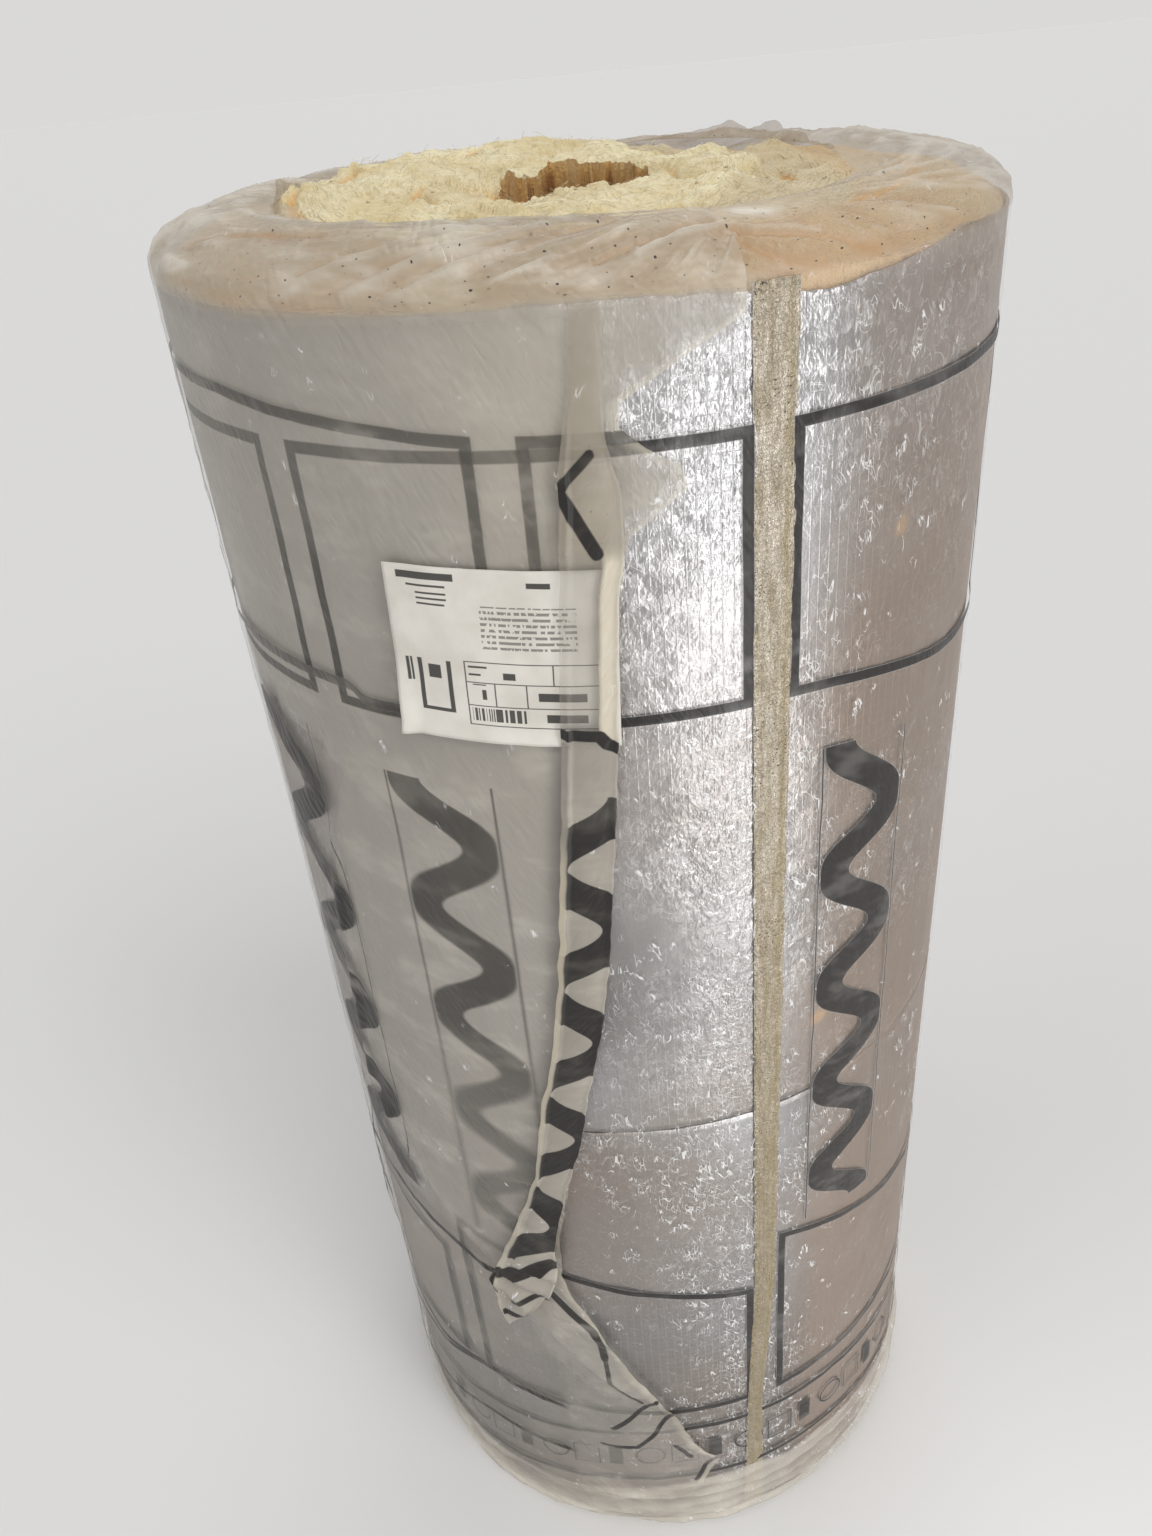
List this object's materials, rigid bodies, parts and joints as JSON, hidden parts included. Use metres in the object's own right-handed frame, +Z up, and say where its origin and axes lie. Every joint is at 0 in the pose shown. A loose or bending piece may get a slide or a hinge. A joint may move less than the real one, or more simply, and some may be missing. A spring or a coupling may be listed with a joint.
{
  "type": "insulation roll",
  "caption": "Pack of mineral wool lamella mat, wound into foil faced rolls that stand on end one over the other, shrink wrapped in film with torn open ends.",
  "frame": {"origin": "on the floor, on the axis of the winding", "axes": "+Z up the winding's axis, -Y towards the front with the label and the torn lap, +X to the right of the front"},
  "size_m": [0.5667, 0.5667, 1.2411],
  "materials": {
    "mineral_wool": "loose cream yellow fibre",
    "foil_facing": "crinkled foil over a scrim net",
    "clear_film": "tight clear shrink film, printed frames",
    "hazy_film": "loose milky film, wrinkled",
    "aged_tape": "yellowed clear tape",
    "label_paper": "matt white paper, ruled"
  },
  "bodies": {
    "root": {"upper_wool_roll": "mineral_wool", "lower_wool_roll": "mineral_wool", "upper_foil_facing": "foil_facing", "lower_foil_facing": "foil_facing", "film_sleeve": "clear_film", "film_lap": "hazy_film", "closing_tape": "aged_tape", "label": "label_paper"}
  },
  "joints": []
}
